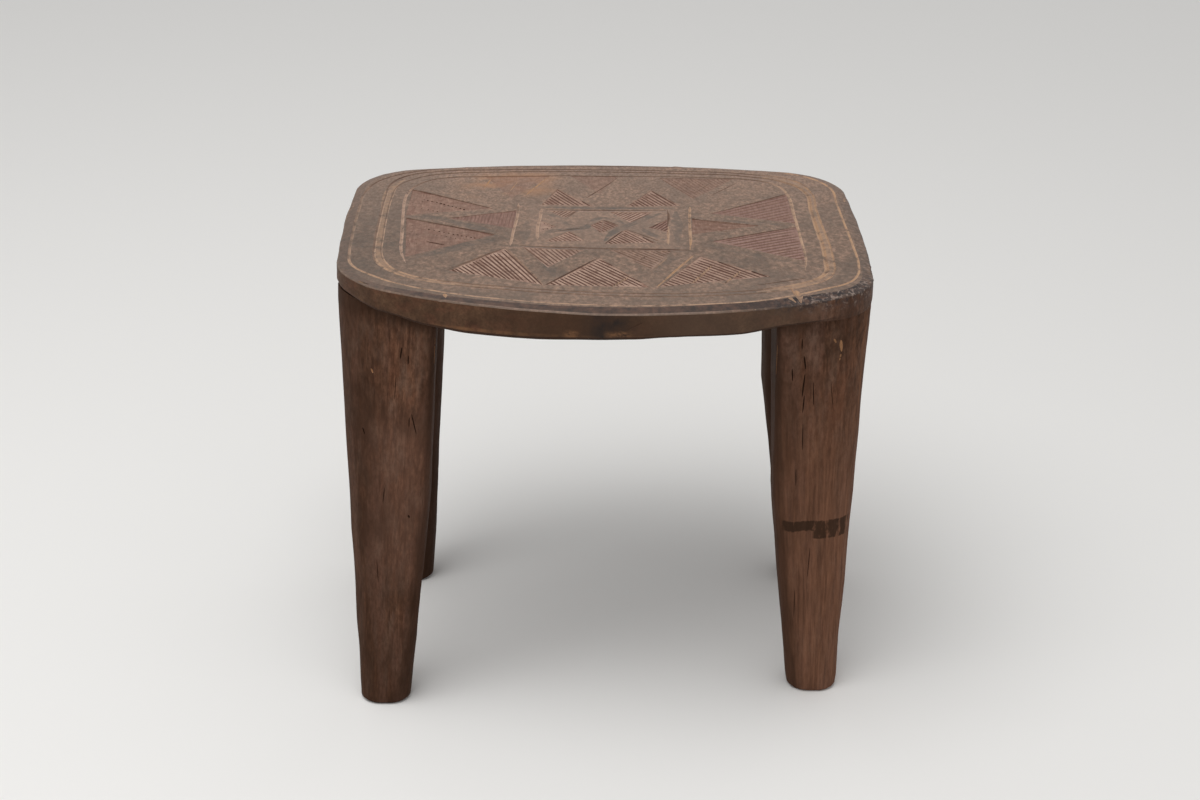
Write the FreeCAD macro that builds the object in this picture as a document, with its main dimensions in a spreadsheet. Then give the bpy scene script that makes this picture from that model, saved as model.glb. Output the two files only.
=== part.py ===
"""Low side table: a carved slab on four hewn legs, each held by a round tenon and a hidden wedge.

Millimetres, +Z up, +X to the right seen from the front, the front faces -Y.
The origin is on the floor under the middle of the slab.
"""
import FreeCAD, Part
import math
import os

import Sketcher

# Driving dimensions
DIMENSIONS = [
    ("top_width", 480, "slab across X, at the middle of its bowed sides"),
    ("top_depth", 406, "slab across Y, at the middle of its bowed front and back"),
    ("table_height", 414, "floor to the upper face"),
    ("slab_thickness", 28, "upper face to underside"),
    ("front_bow", 64, "how far the front swells past its two corners"),
    ("front_skew", 6.5, "how far the right front corner stands forward, and the left one back"),
    ("back_bow", 30, "how far the back swells past its two corners"),
    ("side_bow", 6, "how far each side swells past its two corners"),
    ("front_left_corner_radius", 90, "rounding of the front left corner"),
    ("front_right_corner_radius", 60, "rounding of the front right corner"),
    ("back_corner_radius", 70, "rounding of the two back corners"),
    ("rim_width", 10, "plan width of the sloping rim round the upper face"),
    ("rim_drop", 2.5, "fall of the sloping rim"),
    ("under_round", 6, "rounding of the slab's lower edge"),
    ("leg_inset", 4, "outer face of a leg's head to the widest side of the slab"),
    ("leg_setback", 10, "front or back face of a leg's head to the slab's edge"),
    ("front_head_side", 52, "front leg's head along Y, at its outer side"),
    ("back_head_side", 68, "back leg's head along Y, at its outer side"),
    ("head_round", 55, "rounding of the head's outer corner, under the slab's corner"),
    ("arris_round", 8, "rounding of the two corners beside it"),
    ("inner_round", 34, "rounding of the corner that faces the middle of the table"),
    ("foot_width", 46, "leg's foot, across X and along Y"),
    ("foot_round", 19, "rounding of the foot's four corners"),
    ("foot_edge", 3, "worn slope round the foot's sole, in and up"),
    ("belly_height", 210, "height at which the legs' inner sides swell most"),
    ("front_left_width", 90, "leg's head across X"),
    ("front_left_out_x", 9, "foot's centre outward of its tenon along X"),
    ("front_left_out_y", 21, "foot's centre outward of its tenon along Y"),
    ("front_left_belly", 4.5, "swell of the leg's inner side beyond a straight taper"),
    ("front_right_width", 88, "as above, front right leg"),
    ("front_right_out_x", 9, "as above, front right leg"),
    ("front_right_out_y", -16, "as above, front right leg"),
    ("front_right_belly", 7, "as above, front right leg"),
    ("back_left_width", 85, "as above, back left leg"),
    ("back_left_out_x", -2, "as above, back left leg"),
    ("back_left_out_y", -16, "as above, back left leg"),
    ("back_left_belly", 1.5, "as above, back left leg"),
    ("back_right_width", 72, "as above, back right leg"),
    ("back_right_out_x", 16, "as above, back right leg"),
    ("back_right_out_y", -16, "as above, back right leg"),
    ("back_right_belly", 11, "as above, back right leg"),
    ("tenon_diameter", 40, "round tenon on a leg's head"),
    ("mortise_depth", 20, "blind mortise in the slab's underside"),
    ("mortise_clearance", 0.15, "tenon to mortise, all round"),
    ("tenon_end_gap", 0.3, "tenon's end to the bottom of the mortise"),
    ("kerf_mouth", 5, "width of the kerf at the tenon's end, spread by its wedge"),
    ("kerf_root", 2.5, "width of the kerf at its bottom"),
    ("kerf_depth", 17, "depth of the kerf in the tenon"),
    ("wedge_width", 32, "wedge across the tenon, along Y"),
    ("wedge_tip_gap", 0.8, "wedge's tip to the bottom of the kerf"),
    ("wedge_clearance", 0.05, "wedge to each cheek of the kerf"),
]

doc = FreeCAD.newDocument("carved_side_table")
size = doc.addObject("Spreadsheet::Sheet", "size")
for row, (alias, number, meaning) in enumerate(DIMENSIONS, start=1):
    size.set(f"A{row}", alias)
    size.set(f"B{row}", str(number))
    size.set(f"C{row}", meaning)
    size.setAlias(f"B{row}", alias)
doc.recompute()

# Shared places and sizes, worked out from the driving dimensions
LEG_LENGTH = "(size.table_height - size.slab_thickness)"
TENON_LENGTH = "(size.mortise_depth - size.tenon_end_gap)"
CORNER_X = "(size.top_width / 2 - size.side_bow)"
MEAN_CORNER_Y = {end: f"(size.top_depth / 2 - size.{end}_bow)" for end in ("front", "back")}
SKEW = {"front": "size.front_skew", "back": "0"}
HALF_CHORD = {end: f"sqrt({CORNER_X} ^ 2 + {SKEW[end]} ^ 2)" for end in SKEW}
HEAD_OUTER_X = "(size.top_width / 2 - size.leg_inset)"

# The legs: the end that each stands at, and its direction from the middle along X and Y
LEGS = {
    "front_left": ("front", -1, -1),
    "front_right": ("front", 1, -1),
    "back_left": ("back", -1, 1),
    "back_right": ("back", 1, 1),
}


def value(expression):
    """The number that an expression on the driving dimensions comes to."""
    return float(size.evalExpression(expression))


def bow_radius(half_chord, bow):
    """Radius of an arc that swells by bow over a chord of twice half_chord."""
    return f"(({half_chord} ^ 2 + {bow} ^ 2) / (2 * {bow}))"


def corner_y(end, x_sign):
    """How far a corner of the slab is from the middle line, along Y."""
    return f"({MEAN_CORNER_Y[end]} + {x_sign} * {SKEW[end]})"


def edge_y(leg, x):
    """How far the slab's edge outside a leg is from the middle line, at x: an arc over a skewed chord."""
    end, x_sign, _ = LEGS[leg]
    radius = bow_radius(HALF_CHORD[end], f"size.{end}_bow")
    reach = f"(({radius} - size.{end}_bow) / {HALF_CHORD[end]})"
    centre_x = f"({reach} * {SKEW[end]})"
    centre_y = f"({MEAN_CORNER_Y[end]} - {reach} * {CORNER_X})"
    return f"({centre_y} + sqrt({radius} ^ 2 - ({x_sign} * {x} - {centre_x}) ^ 2))"


def head_y(leg, x):
    """How far the front or back face of a leg's head is from the middle line, at x."""
    return f"({edge_y(leg, x)} - size.leg_setback)"


def head_inner_x(leg):
    """How far the inner side of a leg's head is from the middle line."""
    return f"({HEAD_OUTER_X} - size.{leg}_width)"


def head_inner_y(leg):
    """How far the inner face of a leg's head is from the middle line."""
    return f"({head_y(leg, HEAD_OUTER_X)} - size.{LEGS[leg][0]}_head_side)"


def tenon_x(leg):
    """How far a tenon's axis is from the middle line, along X."""
    return f"({HEAD_OUTER_X} - size.{leg}_width / 2)"


def tenon_y(leg):
    """How far a tenon's axis is from the middle line, along Y."""
    outer_face = f"({head_y(leg, HEAD_OUTER_X)} + {head_y(leg, head_inner_x(leg))}) / 2"
    return f"(({outer_face} + {head_inner_y(leg)}) / 2)"


def tenon_place(leg):
    """A tenon's axis as x and y expressions."""
    _, x_sign, y_sign = LEGS[leg]
    return f"{x_sign} * {tenon_x(leg)}", f"{y_sign} * {tenon_y(leg)}"


# Sketching helpers
def new_sketch(body, name, plane_role, height="0"):
    """A sketch on one of the body's own planes, raised along that plane's normal."""
    sketch = body.newObject("Sketcher::SketchObject", name)
    plane = next(plane for plane in body.Origin.OriginFeatures if plane.Role == plane_role)
    sketch.AttachmentSupport = [(plane, "")]
    sketch.MapMode = "FlatFace"
    sketch.setExpression("AttachmentOffset.Base.z", height)
    return sketch


def bind(sketch, name, expression, *constraint):
    """Add a dimension to a sketch and tie it to an expression."""
    number = sketch.addConstraint(Sketcher.Constraint(*constraint, value(expression)))
    sketch.renameConstraint(number, name)
    sketch.setExpression(f"Constraints.{name}", expression)


def pin_point(sketch, name, geometry, point, x, y):
    """Hold a point of a sketch at x, y from the sketch's origin."""
    origin = (-1, 1)
    bind(sketch, f"{name}_x", x, "DistanceX", *origin, geometry, point)
    bind(sketch, f"{name}_y", y, "DistanceY", *origin, geometry, point)


def join_ends(sketch, count):
    """Join each of the first count edges of a sketch, end to start, into a loop."""
    for index in range(count):
        following = (index + 1) % count
        sketch.addConstraint(Sketcher.Constraint("Coincident", index, 2, following, 1))


def draw_polygon(sketch, corners, construction=False):
    """A closed polygon through corners, each an x and a y expression."""
    points = [FreeCAD.Vector(value(x), value(y), 0) for x, y in corners]
    for start, end in zip(points, points[1:] + points[:1]):
        sketch.addGeometry(Part.LineSegment(start, end), construction)
    join_ends(sketch, len(points))
    for index, (x, y) in enumerate(corners):
        pin_point(sketch, f"corner_{index}", index, 1, x, y)
    return points


def draw_rounded_polygon(sketch, corners, rounds):
    """A closed polygon, drawn anticlockwise, whose corners are rounded by arcs."""
    points = draw_polygon(sketch, corners, construction=True)
    count = len(points)
    tangent_ends = []
    arcs = []
    for index, corner in enumerate(points):
        radius = value(rounds[index])
        back = (points[index - 1] - corner).normalize()
        ahead = (points[(index + 1) % count] - corner).normalize()
        half_angle = back.getAngle(ahead) / 2
        reach = radius / math.tan(half_angle)
        middle = (back + ahead).normalize()
        nearest = corner + middle * (radius / math.sin(half_angle) - radius)
        start = corner + back * reach
        end = corner + ahead * reach
        tangent_ends.append((start, end))
        arcs.append(Part.Arc(start, nearest, end))
    for index in range(count):
        line_start = tangent_ends[index][1]
        line_end = tangent_ends[(index + 1) % count][0]
        sketch.addGeometry(Part.LineSegment(line_start, line_end), False)
        sketch.addGeometry(arcs[(index + 1) % count], False)
    for index in range(count):
        line = count + 2 * index
        arc_after = line + 1
        arc_before = count + 2 * ((index - 1) % count) + 1
        sketch.addConstraint(Sketcher.Constraint("Tangent", arc_before, 2, line, 1))
        sketch.addConstraint(Sketcher.Constraint("Tangent", line, 2, arc_after, 1))
        sketch.addConstraint(Sketcher.Constraint("PointOnObject", line, 1, index))
        sketch.addConstraint(Sketcher.Constraint("PointOnObject", line, 2, index))
        bind(sketch, f"round_{index}", rounds[(index + 1) % count], "Radius", arc_after)


def draw_circle(sketch, name, x, y, radius):
    """A circle of the given radius about x, y."""
    centre = FreeCAD.Vector(value(x), value(y), 0)
    circle = sketch.addGeometry(Part.Circle(centre, FreeCAD.Vector(0, 0, 1), value(radius)), False)
    pin_point(sketch, name, circle, 3, x, y)
    bind(sketch, f"{name}_radius", radius, "Radius", circle)


def edges_where(feature, wanted):
    """Names of a feature's edges whose vertices all pass the test."""
    return [
        f"Edge{number}"
        for number, edge in enumerate(feature.Shape.Edges, start=1)
        if all(wanted(vertex.Point) for vertex in edge.Vertexes)
    ]


def add_round(body, name, base, edges, radius):
    """Round the named edges of the body's last feature."""
    feature = body.newObject("PartDesign::Fillet", name)
    feature.Base = (base, edges)
    feature.setExpression("Radius", radius)
    doc.recompute()
    return feature


def new_body(name, x, y, z):
    """A body named for its piece, standing at x, y, z."""
    body = doc.addObject("PartDesign::Body", name)
    body.setExpression("Placement.Base.x", x)
    body.setExpression("Placement.Base.y", y)
    body.setExpression("Placement.Base.z", z)
    return body


def make_slab():
    """The board: bowed outline, rounded corners, sloping rim, and a blind mortise over each leg."""
    body = new_body("top_slab", "0", "0", LEG_LENGTH)
    outline = new_sketch(body, "slab_outline", "XY_Plane")
    corners = [
        (f"-{CORNER_X}", f"-{corner_y('front', -1)}"),
        (CORNER_X, f"-{corner_y('front', 1)}"),
        (CORNER_X, corner_y("back", 1)),
        (f"-{CORNER_X}", corner_y("back", -1)),
    ]

    def end_swell(end, y_sign):
        """Middle of the front or back arc, and its radius."""
        return "0", f"{y_sign} * size.top_depth / 2", bow_radius(HALF_CHORD[end], f"size.{end}_bow")

    def side_swell(x_sign):
        """Middle of a side's arc, and its radius."""
        front, back = corner_y("front", x_sign), corner_y("back", x_sign)
        radius = bow_radius(f"(({front} + {back}) / 2)", "size.side_bow")
        return f"{x_sign} * size.top_width / 2", f"({back} - {front}) / 2", radius

    swells = [end_swell("front", -1), side_swell(1), end_swell("back", 1), side_swell(-1)]
    points = [FreeCAD.Vector(value(x), value(y), 0) for x, y in corners]
    for start, end, (x, y, _) in zip(points, points[1:] + points[:1], swells):
        middle = FreeCAD.Vector(value(x), value(y), 0)
        outline.addGeometry(Part.Arc(start, middle, end), False)
    join_ends(outline, len(points))
    for index, ((x, y), (_, _, radius)) in enumerate(zip(corners, swells)):
        pin_point(outline, f"corner_{index}", index, 1, x, y)
        bind(outline, f"swell_{index}", radius, "Radius", index)

    board = body.newObject("PartDesign::Pad", "slab_board")
    board.Profile = outline
    board.setExpression("Length", "size.slab_thickness")
    doc.recompute()

    corner_radii = [
        "size.front_left_corner_radius",
        "size.front_right_corner_radius",
        "size.back_corner_radius",
        "size.back_corner_radius",
    ]
    rounded = board
    for index, (corner, radius) in enumerate(zip(points, corner_radii)):
        upright = edges_where(rounded, lambda point: math.dist(point[:2], corner[:2]) < 1e-6)
        rounded = add_round(body, f"round_corner_{index}", rounded, upright, radius)

    thickness = value("size.slab_thickness")
    rim = body.newObject("PartDesign::Chamfer", "sloping_rim")
    rim.Base = (rounded, edges_where(rounded, lambda point: abs(point.z - thickness) < 1e-6))
    rim.ChamferType = "Two distances"
    rim.setExpression("Size", "size.rim_drop")
    rim.setExpression("Size2", "size.rim_width")
    doc.recompute()
    lower_edge = edges_where(rim, lambda point: abs(point.z) < 1e-6)
    add_round(body, "lower_edge", rim, lower_edge, "size.under_round")

    mortise_sketch = new_sketch(body, "mortise_circles", "XY_Plane")
    for leg in LEGS:
        radius = "size.tenon_diameter / 2 + size.mortise_clearance"
        draw_circle(mortise_sketch, leg, *tenon_place(leg), radius)
    mortises = body.newObject("PartDesign::Pocket", "mortises")
    mortises.Profile = mortise_sketch
    mortises.Reversed = True
    mortises.setExpression("Length", "size.mortise_depth")
    doc.recompute()
    return body


def make_leg(leg):
    """A tapering leg with a flat shoulder, a round tenon and a kerf; its axis is the tenon's."""
    _, x_sign, y_sign = LEGS[leg]
    body = new_body(f"leg_{leg}", *tenon_place(leg), "0")

    def from_axis(x, y):
        return f"{x_sign} * ({x} - {tenon_x(leg)})", f"{y_sign} * ({y} - {tenon_y(leg)})"

    inner_x = head_inner_x(leg)
    inner_y = head_inner_y(leg)
    head_corners = [
        from_axis(HEAD_OUTER_X, head_y(leg, HEAD_OUTER_X)),
        from_axis(inner_x, head_y(leg, inner_x)),
        from_axis(inner_x, inner_y),
        from_axis(HEAD_OUTER_X, inner_y),
    ]
    head_rounds = ["size.head_round", "size.arris_round", "size.inner_round", "size.arris_round"]

    def foot_corners(half_width):
        return [
            (
                f"{x_sign} * (size.{leg}_out_x + {x_step} * {half_width})",
                f"{y_sign} * (size.{leg}_out_y + {y_step} * {half_width})",
            )
            for x_step, y_step in ((1, 1), (-1, 1), (-1, -1), (1, -1))
        ]

    half_foot = "(size.foot_width / 2)"
    half_sole = "(size.foot_width / 2 - size.foot_edge)"
    belly_share = f"((size.belly_height - size.foot_edge) / ({LEG_LENGTH} - size.foot_edge))"

    def at_belly(foot, head):
        """Where a straight taper from foot to head passes the belly's height."""
        return f"({foot} + ({head} - {foot}) * {belly_share})"

    swells = ["0", f"{x_sign} * size.{leg}_belly", f"{x_sign} * size.{leg}_belly", "0"]
    belly_corners = [
        (f"{at_belly(foot_x, top_x)} - {swell}", at_belly(foot_y, top_y))
        for (foot_x, foot_y), (top_x, top_y), swell in zip(foot_corners(half_foot), head_corners, swells)
    ]
    belly_rounds = [at_belly("size.foot_round", head_round) for head_round in head_rounds]
    sections = [
        ("sole", "0", foot_corners(half_sole), ["(size.foot_round - size.foot_edge)"] * 4),
        ("foot", "size.foot_edge", foot_corners(half_foot), ["size.foot_round"] * 4),
        ("belly", "size.belly_height", belly_corners, belly_rounds),
        ("head", LEG_LENGTH, head_corners, head_rounds),
    ]
    sketches = []
    for section, height, corners, rounds in sections:
        if x_sign * y_sign < 0:
            corners.reverse()
            rounds.reverse()
        sketch = new_sketch(body, f"{leg}_{section}", "XY_Plane", height)
        draw_rounded_polygon(sketch, corners, rounds)
        sketches.append(sketch)
    doc.recompute()
    taper = body.newObject("PartDesign::AdditiveLoft", f"{leg}_taper")
    taper.Profile = sketches[0]
    taper.Sections = sketches[1:]
    taper.Ruled = True
    doc.recompute()

    tenon_circle = new_sketch(body, f"{leg}_tenon_circle", "XY_Plane", LEG_LENGTH)
    draw_circle(tenon_circle, "tenon", "0", "0", "size.tenon_diameter / 2")
    tenon = body.newObject("PartDesign::Pad", f"{leg}_tenon")
    tenon.Profile = tenon_circle
    tenon.setExpression("Length", TENON_LENGTH)

    mouth_z = f"{LEG_LENGTH} + {TENON_LENGTH}"
    kerf_profile = new_sketch(body, f"{leg}_kerf_profile", "XZ_Plane")
    draw_polygon(kerf_profile, [
        ("-size.kerf_root / 2", f"{mouth_z} - size.kerf_depth"),
        ("size.kerf_root / 2", f"{mouth_z} - size.kerf_depth"),
        ("size.kerf_mouth / 2", mouth_z),
        ("-size.kerf_mouth / 2", mouth_z),
    ])
    kerf = body.newObject("PartDesign::Pocket", f"{leg}_kerf")
    kerf.Profile = kerf_profile
    kerf.SideType = "Symmetric"
    kerf.setExpression("Length", "size.tenon_diameter")
    doc.recompute()
    return body


def make_wedge(leg):
    """A hidden wedge: its butt on the mortise's bottom, its cheeks against those of the kerf."""
    butt_z = f"{LEG_LENGTH} + size.mortise_depth"
    body = new_body(f"wedge_{leg}", *tenon_place(leg), butt_z)
    slope = "(size.kerf_mouth - size.kerf_root) / size.kerf_depth"
    length = "(size.kerf_depth + size.tenon_end_gap - size.wedge_tip_gap)"
    half_butt = f"((size.kerf_mouth + {slope} * size.tenon_end_gap) / 2 - size.wedge_clearance)"
    half_tip = f"((size.kerf_root + {slope} * size.wedge_tip_gap) / 2 - size.wedge_clearance)"
    profile = new_sketch(body, f"{leg}_wedge_profile", "XZ_Plane")
    draw_polygon(profile, [
        (f"-{half_tip}", f"-{length}"),
        (half_tip, f"-{length}"),
        (half_butt, "0"),
        (f"-{half_butt}", "0"),
    ])
    blade = body.newObject("PartDesign::Pad", f"{leg}_wedge_blade")
    blade.Profile = profile
    blade.SideType = "Symmetric"
    blade.setExpression("Length", "size.wedge_width")
    doc.recompute()
    return body


pieces = [make_slab()]
pieces += [make_leg(leg) for leg in LEGS]
pieces += [make_wedge(leg) for leg in LEGS]
doc.recompute()

# Every feature has to be sound, and every cut has to have removed wood, before a piece is written
for item in doc.Objects:
    if "Invalid" in item.State or "Error" in item.State:
        raise RuntimeError(f"{item.Label} did not build: {item.State}")
    if item.TypeId == "PartDesign::Pocket" and item.Shape.Volume >= item.BaseFeature.Shape.Volume:
        raise RuntimeError(f"{item.Label} cut nothing")
for piece in pieces:
    if piece.Shape.isNull() or not piece.Shape.isValid() or len(piece.Shape.Solids) != 1:
        raise RuntimeError(f"{piece.Label} is not one sound solid")

os.makedirs("parts", exist_ok=True)
for piece in pieces:
    piece.Shape.exportStep(f"parts/{piece.Label}.step")
    box = piece.Shape.optimalBoundingBox()
    print(f"{piece.Label}: {box.XLength:.1f} x {box.YLength:.1f} x {box.ZLength:.1f} mm")
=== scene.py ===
import math
import random

import bpy
from mathutils import Matrix, Vector
from mathutils.kdtree import KDTree


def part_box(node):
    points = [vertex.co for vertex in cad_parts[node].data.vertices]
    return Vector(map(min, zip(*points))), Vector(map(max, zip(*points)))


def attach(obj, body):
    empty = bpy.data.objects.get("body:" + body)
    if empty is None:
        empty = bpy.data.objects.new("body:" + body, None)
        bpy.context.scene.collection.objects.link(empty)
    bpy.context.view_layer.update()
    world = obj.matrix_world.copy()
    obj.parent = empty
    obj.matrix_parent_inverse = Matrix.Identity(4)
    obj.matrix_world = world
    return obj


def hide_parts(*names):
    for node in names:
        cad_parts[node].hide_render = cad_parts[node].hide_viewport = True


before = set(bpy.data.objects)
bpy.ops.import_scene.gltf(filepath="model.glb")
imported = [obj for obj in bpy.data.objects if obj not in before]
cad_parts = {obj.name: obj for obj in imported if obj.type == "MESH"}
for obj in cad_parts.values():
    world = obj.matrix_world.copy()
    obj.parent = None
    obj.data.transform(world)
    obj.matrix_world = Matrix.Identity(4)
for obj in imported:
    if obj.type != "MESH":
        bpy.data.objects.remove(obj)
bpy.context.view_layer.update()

# Top slab: one thick board of dark hardwood with rounded corners and bowed edges.
# It is hewn to shape with an adze, with a sloping rim and a rounded lower edge, and four blind
# round holes in its underside take the legs' tenons.
MM = 0.001
X, Y, Z = Vector((1, 0, 0)), Vector((0, 1, 0)), Vector((0, 0, 1))
corner_names = ("front_left", "front_right", "back_left", "back_right")
slab_low, slab_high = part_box("top_slab")
rim_drop = 2.5 * MM
rim_width = 10 * MM
slab_grid = 6 * MM
edge_grid = 4 * MM
rough_grid = 2 * MM
rough_width = 12 * MM
rough_left, rough_back = 0.1, -0.06
arris_width = 1.3 * MM
arris_height = slab_high.z - rim_drop
mortise_reach = 24 * MM
mortise_top = slab_high.z - 5 * MM
arris_slack = 0.05 * MM
outline_slack = 0.2 * MM
weld = 0.002 * MM
flat_turn = math.radians(0.05)
face_up, rim_up, arris_up, under_up = 0.995, 0.9, 0.15, -0.4
tenon_axes = [sum(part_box("wedge_" + name), Vector()).xy / 2 for name in corner_names]
leg_boxes = [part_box("leg_" + name) for name in corner_names]


def pick(piece):
    """Makes a piece the only selected object, and the active one."""
    bpy.ops.object.select_all(action="DESELECT")
    piece.select_set(True)
    bpy.context.view_layer.objects.active = piece


def skin_of(node, name):
    """A copy of a node's mesh, merged into one closed skin with its flat faces whole."""
    piece = bpy.data.objects.new(name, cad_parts[node].data.copy())
    bpy.context.collection.objects.link(piece)
    piece.data.materials.clear()
    pick(piece)
    bpy.ops.mesh.customdata_custom_splitnormals_clear()
    bpy.ops.object.mode_set(mode="EDIT")
    bpy.ops.mesh.select_all(action="SELECT")
    bpy.ops.mesh.remove_doubles(threshold=weld)
    bpy.ops.mesh.dissolve_limited(angle_limit=flat_turn)
    bpy.ops.object.mode_set(mode="OBJECT")
    return piece


def slice_up(piece, direction, first, last, pitch, where=None):
    """Cuts a piece's faces, or those that where picks, on parallel planes, ready for shaping."""
    pick(piece)
    for face in piece.data.polygons:
        face.hide = bool(where) and not where(face.center)
    bpy.ops.object.mode_set(mode="EDIT")
    for k in range(1 + round((last - first) / pitch)):
        bpy.ops.mesh.select_all(action="SELECT")
        bpy.ops.mesh.bisect(plane_co=direction * (first + k * pitch), plane_no=direction)
    bpy.ops.mesh.reveal()
    bpy.ops.object.mode_set(mode="OBJECT")


def tag(mesh, name, value_of):
    """Writes a face attribute that the finish reads, from a function of the face."""
    layer = mesh.attributes.get(name) or mesh.attributes.new(name, "FLOAT", "FACE")
    layer.data.foreach_set("value", [value_of(face) for face in mesh.polygons])


def gather(piece, name, weight_of):
    """A vertex group whose weights come from a function of the point."""
    group = piece.vertex_groups.new(name=name)
    for point in piece.data.vertices:
        weight = weight_of(point)
        if weight > 0:
            group.add([point.index], weight, "REPLACE")


def roughen(piece, group, kind, size, strength, direction="NORMAL", level=0.5, stretch=(1, 1, 1)):
    """Works uneven tool marks into the points of a vertex group."""
    marks = bpy.data.textures.new("tool_marks", kind)
    marks.noise_scale = size
    guide = bpy.data.objects.new("guide", None)
    guide.scale = stretch
    bpy.context.collection.objects.link(guide)
    bpy.context.view_layer.update()
    work = piece.modifiers.new("roughen", "DISPLACE")
    work.texture = marks
    work.texture_coords = "OBJECT"
    work.texture_coords_object = guide
    work.direction = direction
    work.strength = strength
    work.mid_level = level
    work.vertex_group = group
    pick(piece)
    bpy.ops.object.modifier_apply(modifier=work.name)
    bpy.data.objects.remove(guide)
    bpy.data.textures.remove(marks)


def in_mortise(point):
    """True for a point of the holes that take the tenons."""
    near = any((point.co.xy - axis).length < mortise_reach for axis in tenon_axes)
    return near and point.co.z < mortise_top


def clear_of_legs(point):
    """How far a point of the underside lies outside the legs' heads, from 0 at them to 1."""
    gaps = [max(low.x - point.co.x, point.co.x - high.x, low.y - point.co.y, point.co.y - high.y)
            for low, high in leg_boxes]
    return step(2 * MM, 14 * MM, min(gaps))


def step(low, high, value):
    """0 below low, 1 above high, and a straight slope between."""
    return min(1, max(0, (value - low) / (high - low)))


def ease(share):
    """A share from 0 to 1 with soft ends."""
    return share * share * (3 - 2 * share)


def flush(spot):
    """1 at the front right corner, where the board and the leg run into one surface."""
    return ease(step(176, 200, spot.x / MM)) * step(-50, -80, spot.y / MM)


top = skin_of("top_slab", "carved_top")
bpy.ops.object.mode_set(mode="EDIT")
bpy.ops.mesh.select_mode(type="EDGE")
bpy.ops.mesh.select_all(action="DESELECT")
bpy.ops.object.mode_set(mode="OBJECT")
for edge in top.data.edges:
    ends = [top.data.vertices[k].co.z for k in edge.vertices]
    edge.select = all(abs(height - arris_height) < arris_slack for height in ends)
bpy.ops.object.mode_set(mode="EDIT")
bpy.ops.mesh.bevel(offset=arris_width, segments=2, affect="EDGES")
bpy.ops.object.mode_set(mode="OBJECT")
slice_up(top, X, slab_low.x + slab_grid, slab_high.x - slab_grid, slab_grid)
slice_up(top, Y, slab_low.y + slab_grid, slab_high.y - slab_grid, slab_grid)
slice_up(top, Z, slab_low.z + edge_grid, arris_height - edge_grid, edge_grid)

outline = [point.co for point in top.data.vertices
           if abs(point.co.z - arris_height + arris_width) < outline_slack and abs(point.normal.z) < rim_up]
outline_tree = KDTree(len(outline))
for k, spot in enumerate(outline):
    outline_tree.insert((spot.x, spot.y, 0), k)
outline_tree.balance()
outline = [spot.copy() for spot in outline]


def at_rough_corner(spot):
    """True near the arris of the front right corner, which has taken the most knocks."""
    near_arris = outline_tree.find((spot.x, spot.y, 0))[2] < rough_width
    at_corner = spot.x > rough_left and spot.y < rough_back
    return near_arris and at_corner and spot.z > slab_high.z - rough_width


slice_up(top, X, rough_left, slab_high.x, rough_grid, at_rough_corner)
slice_up(top, Y, slab_low.y, rough_back, rough_grid, at_rough_corner)
slice_up(top, Z, slab_high.z - rough_width, arris_height - rough_grid, rough_grid, at_rough_corner)

tag(top.data, "rim", lambda face: float(rim_up < face.normal.z < face_up))
tag(top.data, "arris", lambda face: float(arris_up < face.normal.z <= rim_up))
tag(top.data, "edge", lambda face: float(face.normal.z <= arris_up))
tag(top.data, "under", lambda face: float(face.normal.z <= under_up))
for tone in ("worn", "orange", "field", "ridge", "furrow", "grey"):
    tag(top.data, tone, lambda face: 0.0)


def edge_share(point):
    """The board's edge is uneven all round, and smooth where it runs into the right front leg."""
    upright = abs(point.normal.z) < 0.85 and not in_mortise(point)
    return float(upright) * (1 - flush(point.co))


gather(top, "hewn_edge", edge_share)
roughen(top, "hewn_edge", "CLOUDS", 45 * MM, 2.0 * MM)
roughen(top, "hewn_edge", "CLOUDS", 9 * MM, 0.4 * MM)
gather(top, "hewn_under", lambda point: float(point.normal.z < -0.97) * clear_of_legs(point))
roughen(top, "hewn_under", "VORONOI", 34 * MM, 2.6 * MM, "Z", level=0, stretch=(1.6, 1, 1))

# Carved border: three rings of knife-cut grooves round the upper face, the middle one double.
# Each is a V cut freehand along the edge, worn pale at the sides where hands slide over it.
hand = random.Random(11)
border_width = 3.4 * MM
border_depth = 0.9 * MM
strip_width = 8 * MM
strip_depth = 0.3 * MM
line_end = 0.25


def place(x, y, z=0.0):
    """A point on the upper face, from millimetres."""
    return Vector((x * MM, y * MM, slab_high.z + z * MM))


def colour_cut(cutter, tones):
    """Gives a cutter's faces the tones that its cut will show, as numbers or functions of the place."""
    for name, value in tones.items():
        if callable(value):
            tag(cutter.data, name, lambda face: value(face.center.x / MM, face.center.y / MM))
        else:
            tag(cutter.data, name, lambda face: value)


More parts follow.
